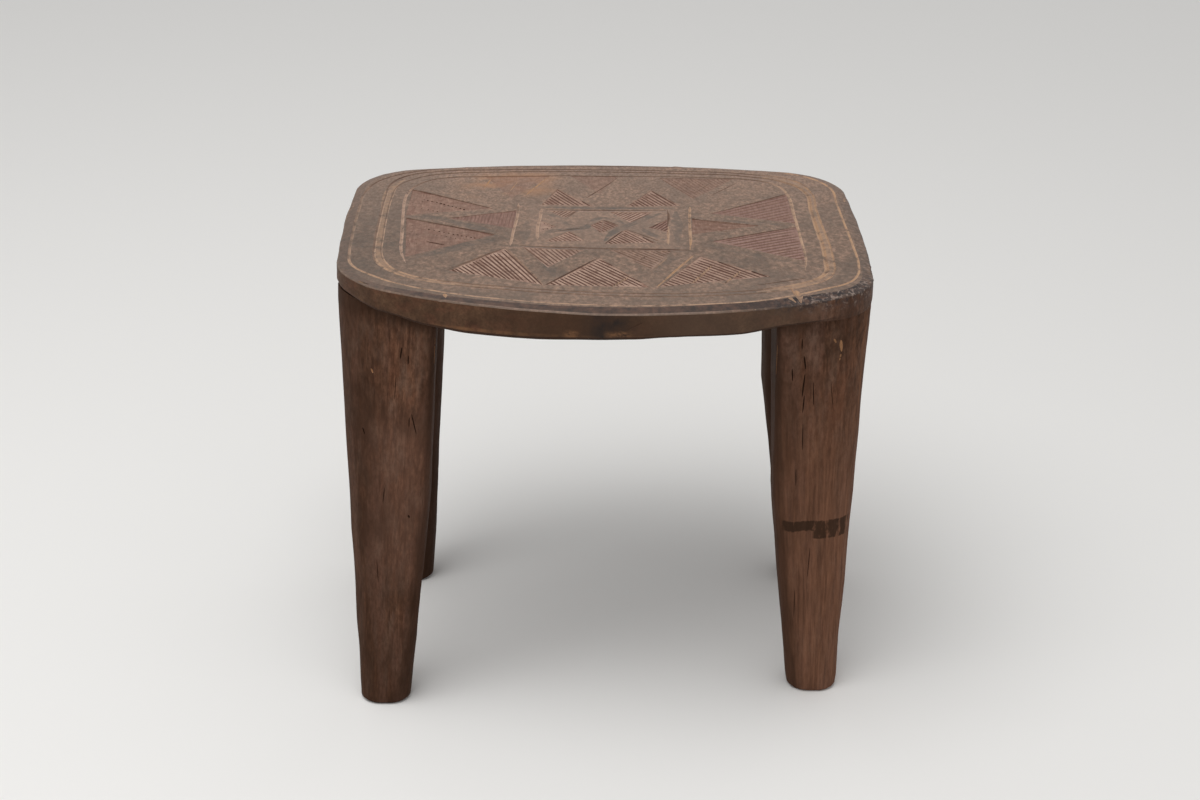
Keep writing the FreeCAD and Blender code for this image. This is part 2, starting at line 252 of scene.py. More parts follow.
def groove(points, width, depth, closed=False, slim=None, shaded=False, **tones):
    """A V-shaped cutter along a smooth line of points on the upper face, slimmer where slim says so."""
    line = bpy.data.curves.new("groove", "CURVE")
    line.dimensions = "3D"
    line.twist_mode = "Z_UP"
    line.resolution_u = 6
    line.bevel_depth = width / 2
    line.bevel_resolution = 0
    line.use_fill_caps = not closed
    spline = line.splines.new("BEZIER")
    spline.bezier_points.add(len(points) - 1)
    spline.use_cyclic_u = closed
    for k, (knot, point) in enumerate(zip(spline.bezier_points, points)):
        knot.co = place(*point)
        knot.handle_left_type = "AUTO"
        knot.handle_right_type = "AUTO"
        at_end = not closed and k in (0, len(points) - 1)
        knot.radius = (line_end if at_end else hand.uniform(0.88, 1.12)) * (slim(*point) if slim else 1)
    cutter = bpy.data.objects.new("groove", line)
    bpy.context.collection.objects.link(cutter)
    pick(cutter)
    bpy.ops.object.convert(target="MESH")
    cutter = bpy.context.object
    deepen = Matrix.Diagonal((1, 1, depth / (width / 2), 1))
    lift = Matrix.Translation((0, 0, slab_high.z))
    cutter.data.transform(lift @ deepen @ lift.inverted())
    bpy.ops.object.mode_set(mode="EDIT")
    bpy.ops.mesh.select_all(action="SELECT")
    bpy.ops.mesh.remove_doubles(threshold=weld)
    bpy.ops.mesh.normals_make_consistent(inside=False)
    bpy.ops.object.mode_set(mode="OBJECT")
    colour_cut(cutter, tones)
    if shaded:
        shade_wall(cutter)
    return cutter


def shade_wall(cutter):
    """Paints shade on one wall of a groove: the outer one at the sides, and the one facing the front."""
    worn = cutter.data.attributes["worn"].data
    furrow = cutter.data.attributes["furrow"].data
    for face in cutter.data.polygons:
        if face.normal.x * math.copysign(1, face.center.x) + face.normal.y > 0.3:
            worn[face.index].value *= 0.35
            furrow[face.index].value = max(furrow[face.index].value, 0.45)


def carve(piece, cutters):
    """Cuts a set of tool marks out of a piece, and throws the cutters away."""
    pick(cutters[0])
    for cutter in cutters:
        cutter.select_set(True)
    bpy.ops.object.join()
    tool = bpy.context.object
    cut = piece.modifiers.new("carve", "BOOLEAN")
    cut.operation = "DIFFERENCE"
    cut.solver = "MANIFOLD"
    cut.object = tool
    pick(piece)
    bpy.ops.object.modifier_apply(modifier=cut.name)
    if piece.modifiers:
        raise RuntimeError("a cutter isn't closed")
    bpy.data.objects.remove(tool)


def at_back(x, y):
    """1 along the back of the border, and 0 at its front and sides."""
    return step(105, 150, y) * (1 - step(150, 190, x))


def at_front(x, y):
    """1 along the middle of the front, and 0 towards the two corners."""
    return step(100, 140, -y) * (1 - step(120, 200, abs(x - 10)))


def border_wear(x, y):
    """The border is palest at its right side, duller at the left, and not worn at the back."""
    side = 0.8 + 0.2 * step(-60, 160, x)
    return side * (1 - at_back(x, y)) * (1 - 0.5 * at_front(x, y))


def rim_line_wear(x, y):
    """The outer ring is dull along the left side and bright round the front."""
    dull = 1 - 0.5 * step(-190, -215, x) * step(-80, -40, y)
    return border_wear(x, y) * dull * (1 + 0.9 * at_front(x, y))


def border_orange(x, y):
    """Bare wood shows orange at the front corners and down the right side."""
    return 0.55 * step(150, 200, x) + 0.35 * step(-60, -100, y) * step(-120, -180, x)


def border_dirt(x, y):
    """Dark dirt stays in the border at the back and along the front."""
    return 0.8 * at_back(x, y) + 0.65 * at_front(x, y)


def border_slim(x, y):
    """The knife ran lighter along the front and the back."""
    return 1 - 0.3 * at_back(x, y) - 0.4 * at_front(x, y)


def rim_line_slim(x, y):
    """The outer ring is cut lighter along the back and down the right side."""
    return 0.9 - 0.3 * at_back(x, y) - 0.1 * at_front(x, y) - 0.25 * step(190, 220, x)


def pair_outer_slim(x, y):
    """The outer line of the double ring is a thin one at the right side."""
    return border_slim(x, y) - 0.35 * step(150, 195, x)


def pair_inner_slim(x, y):
    """The inner line of the double ring is the broad one at the right side, and thin at the left."""
    return border_slim(x, y) + 0.3 * step(150, 190, x) - 0.35 * step(-150, -190, x)


def inner_line_wear(x, y):
    """The innermost line is rubbed bright at the right side, and pink rather than pale at the left."""
    return max(0.4 * border_wear(x, y), step(150, 175, x) * (1 - at_back(x, y)))


def inner_line_pink(x, y):
    """The innermost line is pink at the left."""
    return 1.1 * step(-100, -150, x) * (1 - at_back(x, y))


outer_ring = (
    (-229, 60), (-229, -20), (-228, -60), (-225, -87), (-217, -104), (-202, -121), (-182, -138), (-136, -161),
    (-70, -180), (5, -189), (68, -187), (130, -176), (192, -145), (211, -132), (221, -115), (226, -88),
    (227, -38), (226, 24), (225, 86), (223, 130), (205, 160), (160, 182), (80, 190), (-10, 192), (-95, 189),
    (-170, 176), (-212, 147), (-226, 112),
)
middle_ring_outer = (
    (-207, 45), (-206.5, -38), (-204, -74), (-197, -95), (-182, -115), (-162, -129), (-130, -142),
    (-80, -154), (5, -166), (68, -167), (130, -158), (176, -138), (195, -122), (203, -100), (205, -72),
    (206, -28), (205, 3), (203.5, 66), (203, 118), (190, 150), (150, 168), (80, 177), (5, 180), (-104, 178),
    (-158, 172), (-188, 159), (-203, 135), (-206, 100),
)
middle_ring_inner = (
    (-201.5, 47), (-200.8, -17), (-198.8, -63), (-194, -85), (-184, -105), (-163, -123), (-128, -136),
    (-80, -147), (5, -159), (68, -160), (128, -151), (170, -133), (187, -120), (195.4, -104), (197.5, -80),
    (199.5, -28), (199, 3), (198.5, 66), (197.5, 118), (184, 142), (147, 161), (80, 170), (5, 173),
    (-102, 171), (-152, 165), (-180, 151), (-196, 128), (-200, 100),
)
inner_line = (
    (-176, -87), (-181.5, -59), (-184, -10), (-186.5, 45), (-187.5, 87), (-185.5, 108), (-178, 130),
    (-166, 145), (-145, 154), (-120, 156.5), (-79, 159), (10, 160), (114, 157), (158, 147), (174, 132),
    (179.5, 112), (181, 45), (181, -17), (180.4, -70), (177.5, -98),
)
left_strip = (
    (-190, 148), (-201, 128), (-204.2, 46), (-203.7, -28), (-201.4, -69), (-195.5, -90), (-183, -110),
    (-162.5, -126), (-129, -139), (-90, -148),
)
right_strip = (
    (130, -155), (173, -136), (191, -121), (199.2, -102), (201.3, -76), (202.8, -28), (202, 3), (201, 66),
    (200.3, 118), (187, 146), (160, 160),
)
carve(top, [
    groove(left_strip, strip_width, strip_depth, worn=0.28, orange=0.22),
    groove(right_strip, strip_width, strip_depth, worn=0.34, orange=0.18),
])
ring_tones = {"worn": border_wear, "orange": border_orange, "furrow": border_dirt}
rim_tones = {"worn": rim_line_wear, "orange": border_orange, "furrow": lambda x, y: 0.8 * at_back(x, y)}
inner_tones = {"worn": inner_line_wear, "ridge": inner_line_pink, "furrow": border_dirt}
# the two lines of the double ring get painted shade on one wall
carve(top, [
    groove(outer_ring, border_width, border_depth, True, rim_line_slim, **rim_tones),
    groove(middle_ring_outer, border_width, border_depth, True, pair_outer_slim, True, **ring_tones),
    groove(middle_ring_inner, border_width, border_depth, True, pair_inner_slim, True, **ring_tones),
    groove(inner_line, 0.85 * border_width, border_depth, False, border_slim, **inner_tones),
])

# Carved fields: triangles cut a little below the face, inside the border and round a square frame.
# Most are filled with parallel knife furrows, and the long ones at the left slope down to one
# deep edge.
floor_drop = 0.3
wall_above = 4.0
shortest_furrow = 2.5

bpy.ops.object.select_all(action="DESELECT")
bpy.ops.mesh.primitive_uv_sphere_add(segments=4, ring_count=6, radius=1, rotation=(0, math.pi / 2, 0))
bpy.ops.object.transform_apply(rotation=True)
spindle = bpy.context.object
bpy.ops.mesh.primitive_cylinder_add(vertices=3, radius=1, depth=2)
block = bpy.context.object


def copy_of(piece):
    """A copy with its own mesh."""
    copy = bpy.data.objects.new(piece.name, piece.data.copy())
    bpy.context.collection.objects.link(copy)
    return copy


gouge = copy_of(spindle)
for point in gouge.data.vertices:
    reach = point.co.yz.length
    if reach > 0.1:
        point.co.yz *= min(1, 1.7 * reach) / reach


def middle_of(corners):
    """The middle of a triangle."""
    return sum((Vector(corner) for corner in corners), Vector((0, 0))) / 3


def knife_cut(start, end, width, depth, outward=Z, blade=spindle, **tones):
    """A spindle-shaped cutter from one point to another: a V that runs out at both ends."""
    cutter = copy_of(blade)
    along = (end - start).normalized()
    across = outward.cross(along).normalized()
    turn = Matrix((along, across, along.cross(across))).transposed().to_4x4()
    size = Matrix.Diagonal(((end - start).length / 2, width * MM / 2, depth * MM, 1))
    cutter.data.transform(Matrix.Translation((start + end) / 2) @ turn @ size)
    colour_cut(cutter, tones)
    return cutter


def sink(corners, drops, **tones):
    """A three-cornered cutter whose floor lies at its own drop below each corner."""
    cutter = copy_of(block)
    middle = middle_of(corners)

    def bearing(spot):
        return math.atan2(spot.y, spot.x)

    order = sorted(range(3), key=lambda k: bearing(Vector(corners[k]) - middle))
    points = sorted(cutter.data.vertices, key=lambda point: bearing(point.co))
    ring = [point for point in points if point.co.z < 0]
    lid = [point for point in points if point.co.z > 0]
    for k, floor_point, lid_point in zip(order, ring, lid):
        floor_point.co = place(*corners[k], -drops[k])
        lid_point.co = place(*corners[k], wall_above)
    colour_cut(cutter, tones)
    return cutter


def crossing(corners, point, direction):
    """The two points where a line crosses a triangle's sides, or none."""
    found = []
    for k in range(3):
        start = Vector(corners[k])
        side = Vector(corners[(k + 1) % 3]) - start
        if abs(side.cross(direction)) > 1e-6:
            share = (point - start).cross(direction) / side.cross(direction)
            if 0 <= share <= 1:
                found.append(start + side * share)
    return found[:2] if len(found) >= 2 else []


def drop_at(corners, drops, point):
    """The floor's drop below the face at a point of a field."""
    first, second, third = (Vector(corner) for corner in corners)
    whole = (second - first).cross(third - first)
    share_second = (point - first).cross(third - first) / whole
    share_third = (second - first).cross(point - first) / whole
    return drops[0] + share_second * (drops[1] - drops[0]) + share_third * (drops[2] - drops[0])


sunk = []
furrows = []


def field(corners, drops=(floor_drop,) * 3, angle=None, pitch=4.2, fan=0, width=2.2, depth=0.9, red=1.0,
          ridge=0.0, dirt=0.9, dull=0.0):
    """One carved triangle, in millimetres: its lowered floor, and furrows at an angle if it has them."""
    sunk.append(sink(corners, drops, field=red, ridge=ridge, furrow=dull))
    if angle is None:
        return
    middle = middle_of(corners)
    across = Vector((-math.sin(math.radians(angle)), math.cos(math.radians(angle))))
    spread = [(Vector(corner) - middle).dot(across) for corner in corners]
    count = round((max(spread) - min(spread)) / pitch)
    for k in range(count):
        share = (k + 0.5 + hand.uniform(-0.08, 0.08)) / count
        turn = math.radians(angle + fan * (1 - share) + hand.uniform(-1.2, 1.2))
        offset = min(spread) + share * (max(spread) - min(spread))
        ends = crossing(corners, middle + across * offset, Vector((math.cos(turn), math.sin(turn))))
        if not ends or (ends[0] - ends[1]).length < shortest_furrow:
            continue
        centre = (ends[0] + ends[1]) / 2
        ends = [centre + (end - centre) * hand.uniform(0.9, 1.04) for end in ends]
        start, end = (place(*e, -drop_at(corners, drops, e)) for e in ends)
        wide = width * hand.uniform(0.75, 1.15)
        deep = depth * hand.uniform(0.75, 1.2)
        dark = dirt * hand.uniform(0.75, 1)
        furrows.append(knife_cut(start, end, wide, deep, blade=gouge, field=red, furrow=dark))


# front row, point up, and the pair hanging from the frame
field(((-89, -47), (-137, -106), (-54, -140)), angle=-70, fan=14, pitch=3.8, depth=1.1, ridge=1.0)
field(((-4, -72), (-51, -140), (38, -146)), angle=-55, depth=1.0, ridge=0.95, dirt=1.05)
field(((86, -66), (47, -144), (145, -116)), angle=-47, pitch=4.8, width=2.4, depth=1.0, ridge=0.65,
      dirt=1.05)
field(((-73, -43), (-50, -97), (-18, -51)), angle=-66, pitch=4, width=2, depth=0.7, red=0.7, ridge=0.7,
      dirt=0.6)
field(((5, -51), (42, -101), (61, -52)), angle=-50, pitch=4.3, width=1.9, depth=0.6, red=0.4, ridge=0.3,
      dirt=0.5)
# back row
field(((-42, 121), (-57, 77), (-9, 74)), angle=-61, depth=0.8, ridge=0.6)
field(((49, 120), (24, 73), (75, 76)), angle=-61, depth=0.8, ridge=0.6)
field(((-112, 156), (-86, 95), (-50, 159)), red=0.6)
field(((-29, 159), (-1, 109), (17, 159)), red=0.6)
field(((58, 156), (88, 96), (130, 154)), angle=-63, pitch=4, width=1.7, depth=0.4, red=0.6, dirt=0.35)
# left side
field(((-182, 118), (-184, 43), (-103, 65)), drops=(0.8, 0.1, 0.6), red=0.95)
field(((-183, 36), (-177, -72), (-99, -10)), drops=(0.8, 0.1, 0.6), dull=0.12)
field(((-80.5, 59), (-143, 36), (-83, 8)), drops=(0.4, 0.3, 0.4), angle=86, pitch=3.2, width=1.3, depth=0.3,
      red=1.3, dirt=0.4, dull=0.1)
# right side
field(((179, 111), (103, 54), (180, 27)), angle=33, pitch=6.2, width=2.4, depth=0.5, red=1.4, ridge=0.15,
      dirt=0.45, dull=0.1)
field(((180, 17), (100, -26), (180, -75)), angle=28, pitch=6.4, width=2.7, depth=0.6, red=1.5, ridge=0.2,
      dirt=0.6)
field(((84, 38), (146, 20), (82, -6)), drops=(0.8, 0.5, 0.2), angle=4, pitch=4, width=1.5, depth=0.4,
      dirt=0.5)
# inside the frame
field(((-50, 59), (-35, 38), (-24, 59)), angle=60, pitch=3.6, width=1.8, depth=0.6, red=0.6, ridge=0.8,
      dirt=0.6)
field(((8, 56), (26, 25), (48, 56)), angle=53, pitch=3.8, width=1.9, depth=0.7, ridge=0.8, dirt=0.6)
field(((-57.5, 29), (-58, -1), (-43, 13)), red=0.8, ridge=0.7)
field(((61, 35), (43, 12), (60.5, 0)), angle=60, pitch=3.6, width=1.8, depth=0.7, red=1.2)
field(((-31, 0), (-53, -28), (-17, -26)), angle=-55, pitch=3.8, width=1.8, depth=0.6, ridge=0.8, dirt=0.7)
field(((21, 5), (2, -34), (48, -30)), angle=-57, pitch=3.6, width=2.1, ridge=0.7)
field(((-11, 17), (1, 33), (-2, -4)), angle=-55, pitch=3.8, width=1.8, depth=0.6, ridge=0.3)
field(((1.4, 33), (15, 16), (-1.6, -4)), angle=-55, pitch=3.8, width=1.8, depth=0.6, ridge=0.3)
carve(top, sunk)
carve(top, furrows[0::2])
carve(top, furrows[1::2])

# Frame and marks: the square frame's lines, single cuts across the hatched fields and rows of
# small punched pits. They were cut last, over the fields.
bpy.ops.object.select_all(action="DESELECT")
bpy.ops.mesh.primitive_cone_add(vertices=5, radius1=0.55, radius2=1, depth=2)
pit = bpy.context.object
ribbon_depth = 0.3 * MM


def frame_orange(x, y):
    """The frame's right line is freshest at its lower end."""
    return 0.2 + 0.6 * step(-10, -30, y)


def frame_dirt(x, y):
    """The frame's lower line is soft at the left, faint in the middle and crisp at its right end."""
    return 0.35 + 0.3 * step(0, -30, x) + 0.65 * step(15, 40, x)


def deep_cut_dirt(x, y):
    """The long cut at the left is darkest a little before its right end."""
    return 0.6 + 0.4 * (1 - step(8, 40, abs(x + 122)))


def cut_line(start, end, width, depth, **tones):
    """A knife cut between two places on the face."""
    return knife_cut(place(*start), place(*end), width, depth, **tones)


def punch(x, y, size, dirt=1.2):
    """A small pit with a flat floor, longer than it is wide."""
    mark = copy_of(pit)
    width = size * hand.uniform(0.75, 1.15) * MM
    shape = Matrix.Diagonal((width, 1.5 * width, 1.3 * MM, 1))
    mark.data.transform(Matrix.Translation(place(x, y, -0.3)) @ shape)
    colour_cut(mark, {"furrow": dirt})
    return mark


def punched_row(first, last, count, size):
    """A row of punched pits, a little off the line."""
    row = []
    for k in range(count):
        spot = Vector(first).lerp(Vector(last), k / (count - 1))
        row.append(punch(spot.x + hand.uniform(-0.4, 0.4), spot.y + hand.uniform(-0.6, 0.6), size))
    return row


def stipple(left, right, low, high):
    """Small faint pits on a loose grid between four bounds."""
    marks = []
    for x in range(left, right, 7):
        for y in range(low, high, 9):
            marks.append(punch(x + hand.uniform(-2, 2), y + hand.uniform(-2.5, 2.5), 0.75, 0.7))
    return marks


def ribbon(points, width, grey):
    """A broad shallow scrape along a line, which holds grey dirt."""
    return groove(points, width * MM, ribbon_depth, grey=grey)


carve(top, [ribbon(((-12, 27), (-6, 35), (2, 39), (12, 33), (20, 22)), 7, 1.0)])
carve(top, [
    ribbon(((56, 54), (44, 43), (31, 26), (20, 13), (9, -3), (1, -27)), 8, 1.0),
    ribbon(((-12, 24), (-16, 12), (-30, 5), (-47, 0), (-55, -12)), 8, 1.0),
    ribbon(((-54, 56), (-44, 42), (-38, 28), (-30, 18)), 8, 0.8),
    ribbon(((36, 12), (40, 1), (47, -10), (56, -22)), 7, 0.9),
    ribbon(((70, 60), (69, 20), (68, -30)), 11, 0.7),
    ribbon(((-70, 30), (-71, 0), (-72, -34)), 10, 0.5),
    ribbon(((-62, -46), (-48, -98), (-44, -120)), 10, 0.5),
    ribbon(((44, -108), (62, -72), (76, -60)), 10, 0.4),
    ribbon(((-182, 42), (-160, 37), (-140, 27), (-118, 11), (-100, 0)), 11, 0.8),
    ribbon(((-172, -78), (-140, -52), (-112, -30), (-92, -22)), 12, 0.6),
    ribbon(((100, 40), (140, 28), (176, 22)), 8, 0.5),
    ribbon(((92, -32), (130, -58), (172, -82)), 10, 0.4),
    ribbon(((-60, 69), (0, 68), (70, 69)), 9, 1.0),
    ribbon(((-88, -40), (-40, -44), (4, -47)), 9, 0.8),
])

frame_left = ((-79, 79), (-79, 70), (-79.5, 40), (-82, 5), (-84, -33), (-84.5, -40))
frame_right = ((84, 74), (83.5, 65), (82, 40), (80.5, 0), (80, -21), (78, -48))
frame_front = ((-76, -39), (-30, -44), (9, -47.5), (52, -48), (78, -49))
inner_left = ((-57, 65), (-57.2, 57), (-58, 38), (-60, 12), (-60, -15), (-60, -22))
inner_right_far = ((62, 64), (62.5, 44), (61, 26), (60.5, 18))
inner_right_near = ((60.5, 16), (60.5, 8), (60, -8), (59, -28), (59, -34))
inner_back = ((-53, 62), (0, 61), (61, 62))
pit_rows = (
    ((-166, 88), (-157, 82), 3, 1.15), ((-153, 79), (-130, 62), 7, 1.5), ((-164, 60), (-150, 53), 4, 1.15),
    ((-160, 5), (-137, -8), 6, 1.35), ((-133, -10), (-113, -21), 6, 1.45), ((-152, -11), (-126, -24), 7, 0.8),
    ((-54, 22), (-47, 16), 3, 0.9), ((-55, 6), (-47, 11), 3, 0.9),
)
dark_cuts = (
    ((-178, 116), (-103, 65), 2.0, 1.0, 0.75), ((-185, 37), (-97, -10), 2.2, 1.1, deep_cut_dirt),
    ((84, 39), (96, 33), 1.8, 0.9, 0.7), ((97, 33), (133, 21), 2.6, 1.2, 1.0),
    ((88, 13), (116, 2), 1.8, 0.9, 0.8), ((104, 54), (179, 112), 1.6, 0.7, 0.75),
    ((97, -27), (180, 18), 1.6, 0.7, 0.75), ((-161, -29, -0.5), (-143, -39, -0.5), 3.0, 1.4, 1.2),
    ((31, -75), (40, -63), 1.8, 0.9, 1.0), ((-15, 95), (18, 158), 1.6, 0.8, 0.7),
    ((86, 107), (112, 151), 1.6, 0.7, 0.7), ((106, 107), (133, 143), 1.4, 0.6, 0.5),
    ((152, -62), (180, -47), 1.6, 0.6, 0.7), ((-15, 12), (-49, -2), 1.8, 0.8, 0.8),
    ((19, 3), (1, -34), 1.6, 0.8, 0.8), ((22, 6), (51, -26), 1.6, 0.8, 0.8),
    ((1, 33), (15, 18), 1.4, 0.6, 0.7), ((-24, 58), (-33, 39), 1.6, 0.7, 0.5),
    ((128, -140), (178, -119), 2.0, 0.7, 0.6),
)
pale_cuts = (
    ((5, -145, -0.3), (21, -119, -0.3), 3.0, 1.8, 1.6), ((75, -135, -0.3), (96, -87, -0.3), 3.2, 1.8, 1.6),
    ((103, -137, -0.3), (120, -101, -0.3), 3.0, 1.8, 1.6), ((150, -56), (180, -39), 1.8, 0.6, 0.6),
    ((-93, -80), (-79, -92), 1.2, 0.5, 0.7), ((-91, -88), (-72, -103), 1.2, 0.5, 0.7),
    ((-94, -97), (-76, -111), 1.2, 0.5, 0.6),
)
carve(top, [
    groove(frame_left, 2.8 * MM, MM, worn=0.5, ridge=1.1),
    groove(frame_right, 2.8 * MM, MM, worn=1.0, orange=frame_orange),
    groove(inner_left, 3 * MM, MM, worn=0.5, ridge=1.0),
    groove(inner_right_far, 2.6 * MM, 1.2 * MM, worn=0.2, furrow=0.75),
    groove(inner_right_near, 2.2 * MM, 0.9 * MM, worn=1.5),
    cut_line((44, -146), (81, -61), 2.6, 0.8, worn=0.7, orange=0.8),
    cut_line((-90, -47), (-140, -106), 2.2, 0.8, furrow=0.7, worn=0.2),
    cut_line((-5, -71), (-53, -142), 2.2, 0.8, furrow=0.9),
    cut_line((-88, -46), (-53, -141), 2.0, 0.7, furrow=0.3, worn=0.5),
    *(mark for row in pit_rows for mark in punched_row(*row)),
    *stipple(-178, -164, 64, 104),
    *stipple(-176, -166, -44, 22),
])
carve(top, [
    groove(frame_front, 3.4 * MM, 1.3 * MM, furrow=frame_dirt),
    groove(inner_back, 4.4 * MM, MM, furrow=0.55, grey=0.8),
    *(cut_line(*sizes, furrow=dirt) for *sizes, dirt in dark_cuts),
    *(cut_line(*sizes, worn=bare) for *sizes, bare in pale_cuts),
    cut_line((43, -100), (56, -72), 1.8, 0.7, worn=0.5, furrow=0.3),
    cut_line((-113, 122), (-106, 156), 1.6, 0.6, worn=0.5, orange=1.0),
    cut_line((-89, 111), (-80, 148), 1.6, 0.6, worn=0.4, orange=1.0),
    cut_line((-73, 102), (-51, 157), 1.6, 0.6, worn=0.4, orange=1.0),
])

# Knocks: the rim is chipped along the front, most of all at the right, where a splinter has
# broken out. Fresh wood shows pale in the breaks.
bpy.ops.object.select_all(action="DESELECT")
bpy.ops.mesh.primitive_ico_sphere_add(subdivisions=1, radius=1)
chip = bpy.context.object


def front_edge(x):
    """The place of the bowed front edge at a width, in millimetres."""
    return min((spot for spot in outline if spot.y < 0), key=lambda spot: abs(spot.x - x * MM)).y / MM


def battered(spot):
    """1 along the arris of the front right corner, which has taken the most knocks."""
    near_arris = 1 - step(3, 9, outline_tree.find((spot.x, spot.y, 0))[2] / MM)
    high = step(slab_high.z - 9 * MM, slab_high.z - 4 * MM, spot.z)
    return near_arris * high * step(100, 150, spot.x / MM) * step(-60, -90, spot.y / MM)


def knock(x, size):
    """A small chip out of the front arris."""
    cutter = copy_of(chip)
    shape = Matrix.Diagonal([size * hand.uniform(0.5, 1) * MM for axis in range(3)]).to_4x4()
    turn = Matrix.Rotation(hand.uniform(0, math.tau), 4, "X") @ Matrix.Rotation(hand.uniform(0, 1), 4, "Z")
    out = 0.55 * size * hand.uniform(0.5, 1)
    spot = place(x, front_edge(x) - out, -rim_drop / MM + out)
    cutter.data.transform(Matrix.Translation(spot) @ turn @ shape)
    colour_cut(cutter, {"worn": hand.choice((0.0, 0.15, 0.5)), "arris": 0.5})
    return cutter


def edge_scratch(start, end, width, depth, **tones):
    """A knife cut across the front edge, between two places given by their width and height."""
    ends = [place(x, front_edge(x) + depth / 4, z) for x, z in (start, end)]
    return knife_cut(*ends, width, depth, -Y, **tones)


carve(top, [knock(x, 2.4) for x in range(-196, 100, 22)] + [knock(x, 3.4) for x in range(104, 200, 8)])
carve(top, [knock(x, 1.8) for x in range(-185, 100, 22)] + [knock(x, 2.6) for x in range(108, 200, 8)])
carve(top, [
    cut_line((164, -150), (168, -183), 6.5, 2.2, worn=0.7, orange=0.5),
    cut_line((-138, -163), (-136, -176), 4, 1.4, worn=0.7, orange=0.5),
])
carve(top, [
    cut_line((160, -140), (163, -166), 1.6, 1.0, worn=0.7, orange=0.5),
    cut_line((156, -168), (167, -177), 5, 1.6, worn=0.6, orange=0.5),
    edge_scratch((9, -21.5), (34, -8.5), 0.8, 0.4, edge=1.0, orange=0.08),
    cut_line((-214, -135, -2), (-203, -143, -2), 3, 1.0, worn=0.2, orange=0.9),
    cut_line((-239, 60, -2), (-235, 74, -1.5), 3, 1.0, worn=0.8),
    cut_line((233, 93, -1.5), (235, 106, -1.5), 3, 1.0, worn=0.8),
])
for tool in (block, gouge, pit, chip):
    bpy.data.objects.remove(tool)

gather(top, "hewn_face", lambda point: float(point.co.z > slab_high.z - 3.4 * MM))
roughen(top, "hewn_face", "CLOUDS", 60 * MM, 1.2 * MM, "Z")
gather(top, "battered", lambda point: battered(point.co))
roughen(top, "battered", "CLOUDS", 6 * MM, 2.4 * MM, level=0.6)
roughen(top, "battered", "CLOUDS", 2.5 * MM, 1.0 * MM)

# along the front, in millimetres: how far the lower edge is raised, and the rim lowered
lower_edge = (
    (-228, 11), (-190, 5.6), (-150, 0), (-118, -2), (-66, -1.8), (-13, -0.2), (22, 0.5), (57, 2.2),
    (113, 1.2), (157, 5),
)
upper_edge = (
    (-215, -2.2), (-110, -2.2), (-66, -1.4), (0, 0.5), (60, 0.5), (113, 1.0), (157, 1.8), (210, 0),
)
flush_skin = 0.6 * MM
flush_reach = 6.3 * MM
flush_height = 7 * MM
back_lift = 2.3 * MM


def along_edge(places, x):
    """A height read off a row of places along the front edge, with soft changes between them."""
    height = places[0][1]
    for (near, before), (far, after) in zip(places, places[1:]):
        height += (after - before) * ease(step(near, far, x))
    return height


def under_rise(spot):
    """How far the front edge is hewn thinner from below, most at the left corner."""
    return along_edge(lower_edge, spot.x / MM) * step(-55, -95, spot.y / MM) * MM


def from_edge(spot):
    """A place's distance from the board's outline, and the nearest place on that."""
    near, _, gap = outline_tree.find((spot.x, spot.y, 0))
    return gap, near


def seat_share(gap):
    """The board is thinned as far in as the legs' outer faces, and not over their tenons."""
    return 1 - ease(step(10 * MM, 16 * MM, gap))


def rim_fall(spot):
    """How much further than elsewhere the rim falls along the front, or less where it is below 0."""
    return along_edge(upper_edge, spot.x / MM) * step(-60, -100, spot.y / MM) * MM


for point in top.data.vertices:
    if in_mortise(point):
        continue
    spot = point.co.copy()
    gap, near = from_edge(spot)
    height = step(slab_low.z, slab_high.z, spot.z)
    if flush_skin < gap < flush_reach and spot.z < slab_low.z + flush_height:
        point.co.xy += (near.xy - spot.xy) * flush(spot) * (1 - flush_skin / gap)
    point.co.z += under_rise(point.co) * seat_share(gap) * (1 - height)
    point.co.z -= rim_fall(spot) * (1 - step(0, rim_width, gap)) * height
    point.co.z += back_lift * ease(step(60, 200, spot.y / MM)) * height


# Finish of the top: dusty grey-brown bands, redder carved fields and pale worn grooves.
# The rim is rubbed dark and bluish, and the edge is a dark chocolate brown.
def put(tree, kind, inputs=None, **own):
    """Adds a node. An input takes a value or another node's socket."""
    node = tree.nodes.new(kind)
    for name, value in own.items():
        setattr(node, name, value)
    for name, value in (inputs or {}).items():
        if isinstance(value, bpy.types.NodeSocket):
            tree.links.new(value, node.inputs[name])
        else:
            node.inputs[name].default_value = value
    return node


def new_finish(name):
    """A material, its node tree, and the place on the piece that its patterns follow."""
    finish = bpy.data.materials.new(name)
    finish.use_nodes = True
    coords = put(finish.node_tree, "ShaderNodeTexCoord").outputs["Object"]
    return finish, finish.node_tree, coords


def place_axes(coords):
    """The three parts of a place."""
    return put(coords.id_data, "ShaderNodeSeparateXYZ", {"Vector": coords}).outputs


def share_of(tree, name):
    """How much of a tagged tone a face shows."""
    return put(tree, "ShaderNodeAttribute", attribute_name=name).outputs["Fac"]


def combine(operation, first, *others):
    """Numbers put together from left to right by one operation."""
    for other in others:
        first = put(first.id_data, "ShaderNodeMath", {0: first, 1: other}, operation=operation).outputs[0]
    return first


def times(*shares):
    """The product of some numbers."""
    return combine("MULTIPLY", *shares)


def mix(share, first, second):
    """A blend of two colours."""
    blend = put(share.id_data, "ShaderNodeMix", {0: share, 6: first, 7: second}, data_type="RGBA")
    return blend.outputs[2]


def wash(colour, tone, *shares):
    """Lays a tone over a colour, as strongly as the product of some shares."""
    return mix(times(*shares), colour, tone)


def slope(value, low, high, most=1.0, least=0.0):
    """A straight change from the least to the most between two bounds, and level outside them."""
    return put(value.id_data, "ShaderNodeMapRange", {
        "Value": value, "From Min": low, "From Max": high, "To Min": least, "To Max": most}).outputs["Result"]


